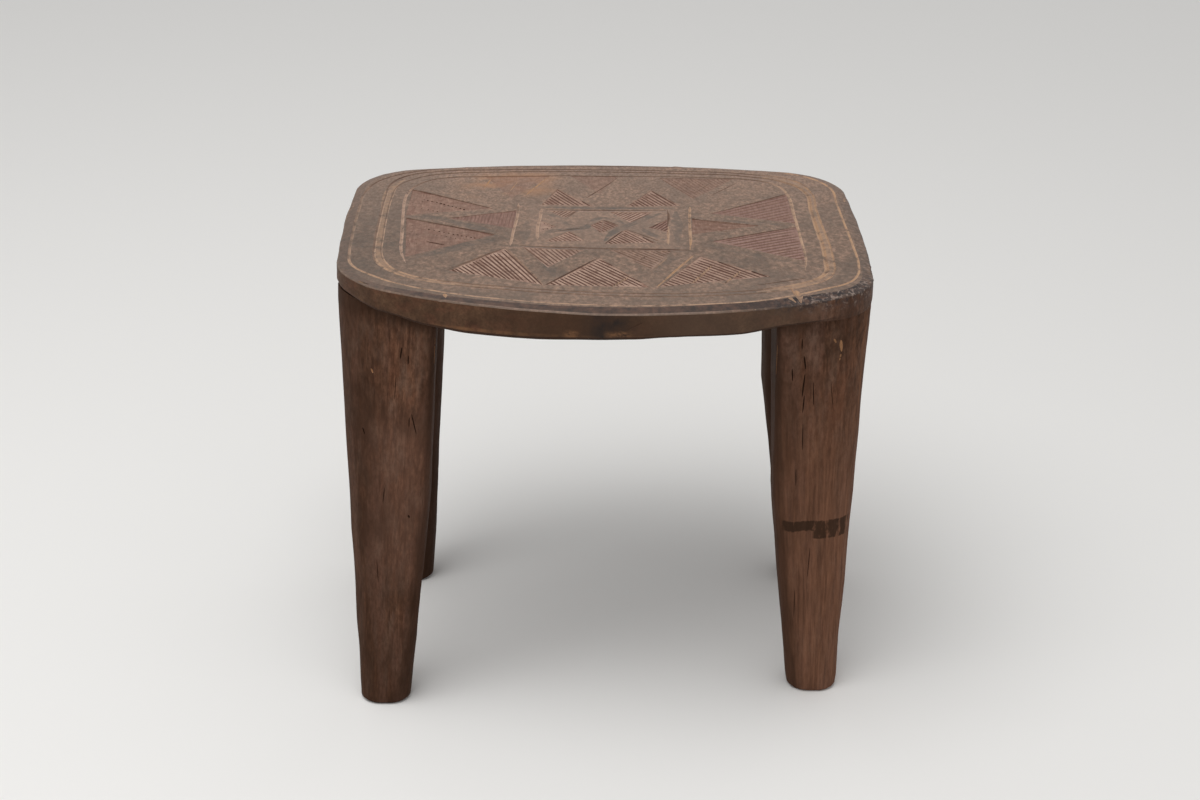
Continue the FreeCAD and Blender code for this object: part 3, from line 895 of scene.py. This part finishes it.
def band(value, low, high, soft):
    """1 between two bounds, falling to 0 over a soft margin outside them."""
    return times(slope(value, low - soft, low), slope(value, high, high + soft, 0.0, 1.0))


def noise(coords, stretch, scale, detail, low, high):
    """Streaks or blotches between 0 and 1, from a stretched noise."""
    mapped = put(coords.id_data, "ShaderNodeMapping", {"Vector": coords, "Scale": stretch})
    cloud = put(coords.id_data, "ShaderNodeTexNoise", {
        "Vector": mapped.outputs["Vector"], "Scale": scale, "Detail": detail, "Roughness": 0.62})
    return slope(cloud.outputs["Fac"], low, high)


def coat(tree, colour, fibres, relief, roughness, gloss):
    """Gives the shader its colour, its sheen and a fine relief of fibres."""
    shader = tree.nodes["Principled BSDF"]
    tree.links.new(colour, shader.inputs["Base Color"])
    shader.inputs["Roughness"].default_value = roughness
    shader.inputs["Specular IOR Level"].default_value = gloss
    bump = put(tree, "ShaderNodeBump", {"Height": fibres, "Strength": 0.4, "Distance": relief})
    tree.links.new(bump.outputs["Normal"], shader.inputs["Normal"])


def dress(piece, finish, gentle_turn):
    """Smooths a piece across its gentle turns, and gives it one finish all over."""
    pick(piece)
    bpy.ops.object.shade_smooth_by_angle(angle=math.radians(gentle_turn))
    piece.data.materials.clear()
    piece.data.materials.append(finish)
    for face in piece.data.polygons:
        face.material_index = 0


leg_dark = (0.033, 0.015, 0.0078, 1)
leg_shade = (0.058, 0.026, 0.0155, 1)
leg_brown = (0.158, 0.076, 0.045, 1)
leg_red = (0.165, 0.066, 0.035, 1)
leg_mauve = (0.176, 0.090, 0.063, 1)
leg_dust_and_sheen = (0.165, 0.107, 0.078, 1)
leg_fresh = (0.245, 0.114, 0.066, 1)
leg_worn = (0.108, 0.050, 0.030, 1)


def upright_wood(coords):
    """The wood of the legs, which also shows where the board runs into the right front leg."""
    x, _, z = place_axes(coords)
    grain = noise(coords, (60, 60, 11), 5, 9, 0.36, 0.64)
    blotches = noise(coords, (1, 1, 0.5), 30, 7, 0.46, 0.62)
    strips = noise(coords, (1, 1, 0.12), 42, 4, 0.46, 0.56)
    flecks = noise(coords, (1, 1, 0.55), 300, 4, 0.42, 0.62)
    redness = noise(coords, (40, 40, 5), 3, 5, 0.48, 0.66)
    dust_and_sheen_film = noise(coords, (1.2, 1.2, 0.5), 60, 7, 0.46, 0.68)
    checks = noise(coords, (120, 120, 9), 3, 3, 0.62, 0.70)
    bare_grain = noise(coords, (42, 42, 3.5), 5, 8, 0.35, 0.65)
    colour = mix(grain, leg_shade, leg_brown)
    colour = wash(colour, leg_red, redness, 0.45)
    colour = wash(colour, leg_mauve, strips, 0.55)
    # grey patches of a dusty film, with a painted sheen
    colour = wash(colour, leg_dust_and_sheen, dust_and_sheen_film, 0.46)
    colour = wash(colour, leg_dark, flecks, 0.42)
    colour = wash(colour, leg_dark, blotches, 0.62)
    colour = wash(colour, leg_dark, checks, 0.6)
    # the right leg is bare and reddish lower down, and painted shade darkens it along its inner third
    bare_wood = mix(bare_grain, leg_worn, leg_fresh)
    colour = wash(colour, bare_wood, slope(x, 0.0, 0.1), slope(z, 0.36, 0.20, 0.62))
    return wash(colour, leg_dark, slope(x, 0.1, 0.14), slope(x, 0.180, 0.163, 0.26))


wood_grey = (0.160, 0.113, 0.084, 1)
wood_tan = (0.325, 0.208, 0.149, 1)
wood_dark = (0.095, 0.061, 0.045, 1)
smudge_grey = (0.100, 0.081, 0.066, 1)
ribbon_grey = (0.092, 0.080, 0.069, 1)
dust_pale = (0.37, 0.25, 0.188, 1)
field_red = (0.225, 0.120, 0.088, 1)
field_tan = (0.33, 0.205, 0.152, 1)
field_dark = (0.115, 0.053, 0.038, 1)
field_deep = (0.265, 0.158, 0.133, 1)
ridge_pale = (0.43, 0.29, 0.222, 1)
furrow_brown = (0.082, 0.040, 0.028, 1)
worn_pale = (0.44, 0.290, 0.200, 1)
worn_orange = (0.43, 0.25, 0.135, 1)
haze_orange = (0.36, 0.19, 0.105, 1)
rim_dark = (0.045, 0.035, 0.032, 1)
rim_brown = (0.123, 0.073, 0.056, 1)
rim_black = (0.027, 0.024, 0.026, 1)
edge_dark = (0.056, 0.028, 0.0155, 1)
edge_light = (0.126, 0.067, 0.037, 1)
edge_red = (0.135, 0.055, 0.031, 1)
arris_pale = (0.25, 0.19, 0.16, 1)
crease_dark = (0.030, 0.013, 0.007, 1)
rub_orange = (0.25, 0.120, 0.055, 1)
stain_black = (0.022, 0.016, 0.014, 1)

top_finish, tree, coords = new_finish("carved_top_wood")
x, y, z = place_axes(coords)
speckle = noise(coords, (1, 0.6, 1), 400, 4, 0.38, 0.64)
mottle = noise(coords, (0.8, 0.65, 1), 220, 9, 0.39, 0.63)
streaks = noise(coords, (0.12, 1, 1), 260, 5, 0.44, 0.60)
smudges = noise(coords, (1, 0.8, 1), 26, 7, 0.47, 0.61)
patches = noise(coords, (1, 1.2, 1), 24, 5, 0.44, 0.62)
uprights = noise(coords, (110, 13, 13), 5, 5, 0.36, 0.66)
wear = noise(coords, (1, 1, 1), 110, 6, 0.35, 0.56)
fibres = noise(coords, (160, 60, 160), 5, 4, 0.3, 0.7)

# the dusty face, darker at the left, paler at the back and inside the frame
colour = mix(mottle, wood_grey, wood_tan)
colour = wash(colour, smudge_grey, smudges, 0.52)
colour = wash(colour, smudge_grey, slope(x, -0.14, -0.21), 0.5)
colour = wash(colour, dust_pale, slope(y, -0.02, 0.16), 0.45)
colour = wash(colour, wood_dark, speckle, 0.6)
colour = wash(colour, smudge_grey, streaks, slope(y, -0.08, -0.15, 0.25))
colour = wash(colour, dust_pale, slope(y, -0.10, -0.14, 0.08))
colour = wash(colour, dust_pale, band(x, -0.06, 0.06, 0.02), band(y, -0.04, 0.06, 0.02), 0.2)
colour = wash(colour, haze_orange, band(x, -0.115, -0.06, 0.03), band(y, 0.12, 0.155, 0.03), patches, 0.65)

# the carved fields, with their ridges and furrows, and the worn cuts
ground = mix(mottle, field_red, field_tan)
ground = wash(ground, field_deep, slope(share_of(tree, "field"), 1.0, 1.5), 0.75)
ground = wash(ground, field_dark, uprights, 0.58)
hold = slope(noise(coords, (1, 0.7, 1), 75, 5, 0.3, 0.6), -1.4, 1.0, 0.9)
colour = wash(colour, ground, share_of(tree, "field"), hold)
colour = wash(colour, ridge_pale, share_of(tree, "ridge"), wear, 0.85)
colour = wash(colour, ribbon_grey, share_of(tree, "grey"), wear, 0.72)
colour = wash(colour, furrow_brown, share_of(tree, "furrow"), 0.85)
colour = wash(colour, worn_pale, share_of(tree, "worn"), wear)
colour = wash(colour, worn_orange, share_of(tree, "orange"), wear)

# the rim, black and specked at the right front corner, with a pale arris in the middle of the front, which is
# wear with a painted highlight
rim = mix(noise(coords, (1, 1, 1), 130, 7, 0.36, 0.68), rim_dark, rim_brown)
rim = wash(rim, rim_black, slope(x, 0.10, 0.16), noise(coords, (1, 1, 1), 210, 4, 0.42, 0.56))
rim = wash(rim, arris_pale, slope(x, 0.14, 0.19), noise(coords, (1, 1, 1), 280, 3, 0.52, 0.64))
colour = wash(colour, rim, share_of(tree, "rim"), 0.3)
colour = wash(colour, rim, share_of(tree, "rim"), slope(y, -0.095, -0.135), slope(x, -0.225, -0.16, 0.9))
pale_arris = times(slope(y, -0.07, -0.13, 0.3), band(x, -0.09, 0.07, 0.05))
colour = wash(colour, arris_pale, share_of(tree, "arris"), pale_arris)
colour = wash(colour, rim, share_of(tree, "arris"), slope(x, 0.1, 0.15, 0.8))

# the edge, with a black stain and rubbed places in the middle, and the leg's wood at the right
edge = mix(noise(coords, (14, 14, 10), 6, 8, 0.34, 0.68), edge_dark, edge_light)
edge = wash(edge, edge_red, noise(coords, (1, 1, 1.3), 70, 6, 0.48, 0.66), 0.6)
edge = wash(edge, edge_dark, patches, 0.55)
edge = wash(edge, crease_dark, speckle, 0.4)
edge = wash(edge, rub_orange, band(z, 0.3885, 0.3905, 0.0015), band(x, -0.13, 0.07, 0.03), wear, 0.45)
front = slope(y, -0.17, -0.185)
edge = wash(edge, edge_dark, band(x, -0.05, 0.07, 0.06), front, 0.6)
stain = times(band(x, -0.003, 0.010, 0.022), front, noise(coords, (1, 1, 0.8), 60, 3, 0.25, 0.6))
edge = wash(edge, stain_black, stain, 0.95)
rubs = combine("MAXIMUM", band(x, -0.031, -0.028, 0.007), band(x, 0.006, 0.016, 0.009))
rubs = times(rubs, band(z, 0.3905, 0.3935, 0.003), front, noise(coords, (1, 1, 1.5), 200, 3, 0.35, 0.65))
edge = wash(edge, rub_orange, rubs, 0.65)
edge = wash(edge, wood_grey, band(x, 0.07, 0.16, 0.05), 0.2)
edge = wash(edge, upright_wood(coords), slope(x, 0.15, 0.20), slope(y, -0.05, -0.1))
bruise = times(slope(x, 0.12, 0.18), slope(z, 0.399, 0.409), noise(coords, (1, 1, 1), 150, 4, 0.40, 0.58))
edge = wash(edge, rim, bruise, slope(y, -0.07, -0.11, 0.8))
colour = wash(colour, edge, share_of(tree, "edge"))
# painted shade on the board's underside and lower rounding, fading out at the right front corner
colour = wash(colour, crease_dark, share_of(tree, "under"), slope(x, 0.205, 0.18, 0.75))
coat(tree, colour, fibres, relief=0.4 * MM, roughness=0.6, gloss=0.1)
dress(top, top_finish, gentle_turn=25)
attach(top, "root")
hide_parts("top_slab")

# Legs: four short posts split from the log and hewn to a taper, with the grain upright.
# Each has a round tenon on its head, slotted for a wedge, and a foot worn round at the edge.
leg_grid = 7 * MM
shoulder = slab_low.z
sole_height = 3 * MM
foot_height = 15 * MM
head_height = shoulder - 25 * MM
seat_depth = 45 * MM
seat_skin = 0.8 * MM
seat_reach = 12 * MM
seat_lift = 0.2 * MM
leg_ember = (0.230, 0.105, 0.055, 1)
leg_scuff = (0.33, 0.17, 0.085, 1)
stain_brown = (0.024, 0.0125, 0.0068, 1)

leg_finish, tree, coords = new_finish("hewn_leg_wood")
x, y, z = place_axes(coords)
along = put(tree, "ShaderNodeAttribute", attribute_name="along").outputs["Vector"]
redness = noise(along, (40, 40, 5), 3, 5, 0.48, 0.66)
fibres = noise(along, (260, 260, 14), 4, 4, 0.3, 0.7)
colour = upright_wood(along)
# reddish streaks at the right leg's outer edge near the top, partly a painted highlight
colour = wash(colour, leg_ember, slope(x, 0.214, 0.224), slope(z, 0.24, 0.32, 0.6), redness)
colour = wash(colour, leg_mauve, band(x, -0.2, -0.16, 0.02), band(z, 0.15, 0.27, 0.05), 0.25)
# painted shade at the left leg's outer side, under the top, on the back legs and on the inner sides, and the
# left leg darker towards its foot
colour = wash(colour, leg_dark, slope(x, -0.185, -0.212, 0.5))
colour = wash(colour, leg_dark, slope(x, -0.1, -0.14), slope(z, 0.15, 0.05, 0.35))
colour = wash(colour, leg_dark, slope(z, 0.374, 0.386), slope(x, 0.2, 0.176, 0.6))
colour = wash(colour, leg_dark, slope(y, 0.0, 0.08, 0.45))
# faces turned in towards the middle get painted shade
facing = place_axes(put(tree, "ShaderNodeNewGeometry").outputs["Normal"])
colour = wash(colour, leg_dark, slope(times(x, facing["X"]), -0.05, -0.11, 0.6))
# a dark spill across the right leg, with drips at its right
ragged = noise(coords, (1, 1, 1), 160, 5, 0.2, 0.8)
level = combine("SUBTRACT", combine("ADD", z, times(x, 0.07)), times(ragged, 0.003))
spill = times(band(level, 0.189, 0.1985, 0.001), band(x, 0.164, 0.225, 0.002))
drips = times(band(level, 0.181, 0.1985, 0.001), band(x, 0.193, 0.225, 0.002))
gaps = noise(coords, (1, 1, 0.35), 110, 5, 0.34, 0.45)
spill = times(combine("MAXIMUM", spill, drips), gaps, slope(y, -0.09, -0.10))
colour = wash(colour, stain_brown, spill, 0.8)
scraped = noise(coords, (1, 1, 0.7), 520, 4, 0.34, 0.46)
colour = wash(colour, leg_scuff, share_of(tree, "worn"), scraped)
colour = wash(colour, leg_dark, share_of(tree, "furrow"), 0.9)
coat(tree, colour, fibres, relief=0.4 * MM, roughness=0.75, gloss=0.06)


def hewn_share(point):
    """Tool marks lie on the sides of a leg, and not on its seat, its tenon or its sole."""
    below_seat = step(shoulder, shoulder - 12 * MM, point.co.z)
    above_sole = step(sole_height, sole_height + 8 * MM, point.co.z)
    return below_seat * above_sole


def raise_seat(leg):
    """Lets the outer part of a leg's seat, and the head below it, follow the board's thinned edge."""
    for point in leg.data.vertices:
        if point.co.z > shoulder + 0.1 * MM:
            continue
        gap, near = from_edge(point.co)
        share = ease(step(shoulder - seat_depth, shoulder, point.co.z))
        if seat_skin < gap < seat_reach:
            outer = 1 - ease(step(seat_reach / 2, seat_reach, gap))
            pull = flush(point.co) * outer * share * (1 - seat_skin / gap)
            point.co.xy += (near.xy - point.co.xy) * pull
        point.co.z += (under_rise(point.co) * seat_share(gap) + seat_lift * flush(point.co)) * share


def corners_of(points):
    """The lowest and the highest corner of the box round some points."""
    spots = [point.co for point in points]
    return [Vector([choose(spot[k] for spot in spots) for k in range(3)]) for choose in (min, max)]


def lay_grain(leg):
    """Keeps each point's place on the leg as if it did not taper, which the grain follows."""
    points = leg.data.vertices
    foot_low, foot_high = corners_of([point for point in points if point.co.z < foot_height])
    head_low, head_high = corners_of([point for point in points if head_height < point.co.z <= shoulder])
    layer = leg.data.attributes.new("along", "FLOAT_VECTOR", "POINT")
    for point in points:
        share = step(0, shoulder, point.co.z)
        low = foot_low.lerp(head_low, share)
        high = foot_high.lerp(head_high, share)
        spot = point.co.copy()
        for k in (0, 1):
            spot[k] = head_low[k] + (spot[k] - low[k]) / (high[k] - low[k]) * (head_high[k] - head_low[k])
        layer.data[point.index].vector = spot


def crack(leg, start, end, width, depth, **tones):
    """A thin split or scrape in a leg's front face, between two places given by width and height."""
    ends = []
    for x, z in (start, end):
        before = Vector((x * MM, -1, z * MM))
        struck, spot, _, _ = leg.ray_cast(before, Y)
        if not struck:
            spot = leg.closest_point_on_mesh(before)[1]
        ends.append(spot)
    return knife_cut(*ends, width, depth, -Y, **tones)


splits = {
    "front_left": (
        ((-176, 360), (-178, 348), 1.8, 1.2, 1.0), ((-170.5, 353), (-171, 344), 1.6, 1.1, 0.9),
        ((-182, 334), (-184, 308), 1.1, 0.8, 0.6), ((-169, 298), (-165, 279), 1.6, 1.2, 0.9),
        ((-171, 294), (-171.5, 284), 1.4, 1.0, 0.8), ((-214, 276), (-212, 270), 2.2, 1.2, 0.8),
        ((-195, 222), (-197, 206), 1.2, 0.8, 0.6), ((-174, 198), (-173, 195), 2.2, 1.2, 1.0),
        ((-204, 150), (-203, 126), 1.1, 0.8, 0.5),
    ),
    "front_right": (
        ((170.5, 374), (171, 363), 1.6, 1.2, 0.9), ((173, 357), (175.5, 343), 1.9, 1.4, 1.0),
        ((175, 339), (173.6, 316), 2.0, 1.4, 1.0), ((175.6, 318), (175, 300), 1.5, 1.2, 0.9),
        ((183, 330), (184.5, 306), 1.4, 1.0, 0.8), ((163, 346), (164, 333), 1.6, 1.2, 0.9),
        ((176, 290), (177, 262), 1.2, 1.0, 0.8), ((199, 330), (203, 300), 1.0, 0.8, 0.5),
        ((172, 244), (173, 226), 1.2, 0.9, 0.7), ((190, 160), (189, 128), 1.0, 0.8, 0.4),
        ((178, 116), (179, 84), 1.0, 0.8, 0.4),
    ),
}
# the pale scrape down each front leg's inner arris near the top is wear with a painted highlight
scrapes = {
    "front_left": (((-204.6, 334), (-203, 330), 3.2, 0.8, 2.0), ((-147, 371), (-148.5, 344), 1.8, 0.5, 1.6)),
    "front_right": (
        ((199.5, 369), (202, 364.5), 4.0, 0.6, 0.8), ((206, 367), (207.5, 355), 8.0, 0.8, 1.4),
        ((207, 353), (206, 347), 4.0, 0.6, 1.2), ((149.4, 368), (150, 336), 1.8, 0.5, 1.2),
    ),
}

for name, (leg_low, leg_high) in zip(corner_names, leg_boxes):
    leg = skin_of("leg_" + name, "hewn_leg_" + name)
    slice_up(leg, Z, sole_height, shoulder - leg_grid, leg_grid)
    slice_up(leg, X, leg_low.x + leg_grid, leg_high.x - leg_grid, leg_grid)
    slice_up(leg, Y, leg_low.y + leg_grid, leg_high.y - leg_grid, leg_grid)
    for tone in ("worn", "furrow"):
        tag(leg.data, tone, lambda face: 0.0)
    gather(leg, "hewn", hewn_share)
    roughen(leg, "hewn", "VORONOI", 24 * MM, 2.0 * MM, level=0.3, stretch=(1, 1, 3.5))
    roughen(leg, "hewn", "CLOUDS", 14 * MM, 0.8 * MM, stretch=(1, 1, 3))
    raise_seat(leg)
    if name in splits:
        marks = [crack(leg, *sizes, furrow=dirt) for *sizes, dirt in splits[name]]
        marks += [crack(leg, *sizes, worn=bare) for *sizes, bare in scrapes[name]]
        carve(leg, marks)
    lay_grain(leg)
    dress(leg, leg_finish, gentle_turn=40)
    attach(leg, "root")
    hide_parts("leg_" + name)
bpy.data.objects.remove(spindle)

# Wedges: four slips of bare split wood, driven into the tenons' slots from above before the slab
# goes on, so that they spread the tenons in their holes.
wedge_dark = (0.30, 0.18, 0.10, 1)
wedge_light = (0.46, 0.30, 0.18, 1)
wedge_finish, tree, coords = new_finish("split_wedge_wood")
fibres = noise(coords, (120, 120, 8), 5, 5, 0.35, 0.65)
colour = mix(fibres, wedge_dark, wedge_light)
coat(tree, colour, fibres, relief=0.3 * MM, roughness=0.7, gloss=0.5)
for name in corner_names:
    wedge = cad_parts["wedge_" + name]
    wedge.data.materials.clear()
    wedge.data.materials.append(wedge_finish)

# Floor and light: a wide pale floor under soft light from above, with a white surround.
# The surround lights the table from all round, and one large lamp gives the shadow its side.
floor_size = 14
floor_pale = (0.86, 0.85, 0.83, 1)
surround_light = 0.55
lamp_place = Vector((-0.7, -0.9, 2.8))
lamp_target = Vector((0, 0, 0.3))
lamp_size = 2.2
lamp_watts = 48
bpy.ops.object.select_all(action="DESELECT")
bpy.ops.mesh.primitive_plane_add(size=floor_size)
floor = bpy.context.object
floor.name = "floor"
floor_finish = bpy.data.materials.new("pale_floor")
floor_finish.use_nodes = True
shader = floor_finish.node_tree.nodes["Principled BSDF"]
shader.inputs["Base Color"].default_value = floor_pale
shader.inputs["Roughness"].default_value = 0.9
floor.data.materials.append(floor_finish)

world = bpy.data.worlds.new("surround")
bpy.context.scene.world = world
world.use_nodes = True
tree = world.node_tree
background = tree.nodes["Background"]
background.inputs["Color"].default_value = (1, 1, 1, 1)
rays = put(tree, "ShaderNodeLightPath").outputs
seen = combine("ADD", rays["Is Camera Ray"], rays["Is Glossy Ray"], rays["Is Transmission Ray"])
tree.links.new(slope(seen, 0.0, 1.0, 1.0, surround_light), background.inputs["Strength"])

bpy.ops.object.light_add(type="AREA", location=lamp_place)
lamp = bpy.context.object
lamp.data.size = lamp_size
lamp.data.energy = lamp_watts
lamp.rotation_euler = (lamp_target - lamp_place).to_track_quat("-Z", "Y").to_euler()

# Camera: a long lens from the front, above the top and looking down on it.
# Its place, turn and length were fitted to the outline of the top and to the feet.
camera_place = Vector((-0.04045, -2.01034, 1.11304))
camera_pitch = 0.40749
camera_yaw = 0.01986
camera_roll = 0.01329
sensor_width = 36
lens_length = 69.16
bpy.ops.object.camera_add(location=camera_place)
camera = bpy.context.object
turn = Matrix.Rotation(-camera_yaw, 3, "Z") @ Matrix.Rotation(math.pi / 2 - camera_pitch, 3, "X")
camera.rotation_euler = (turn @ Matrix.Rotation(camera_roll, 3, "Z")).to_euler()
camera.data.sensor_fit = "HORIZONTAL"
camera.data.sensor_width = sensor_width
camera.data.lens = lens_length
bpy.context.scene.camera = camera
bpy.context.scene.view_settings.view_transform = "Standard"
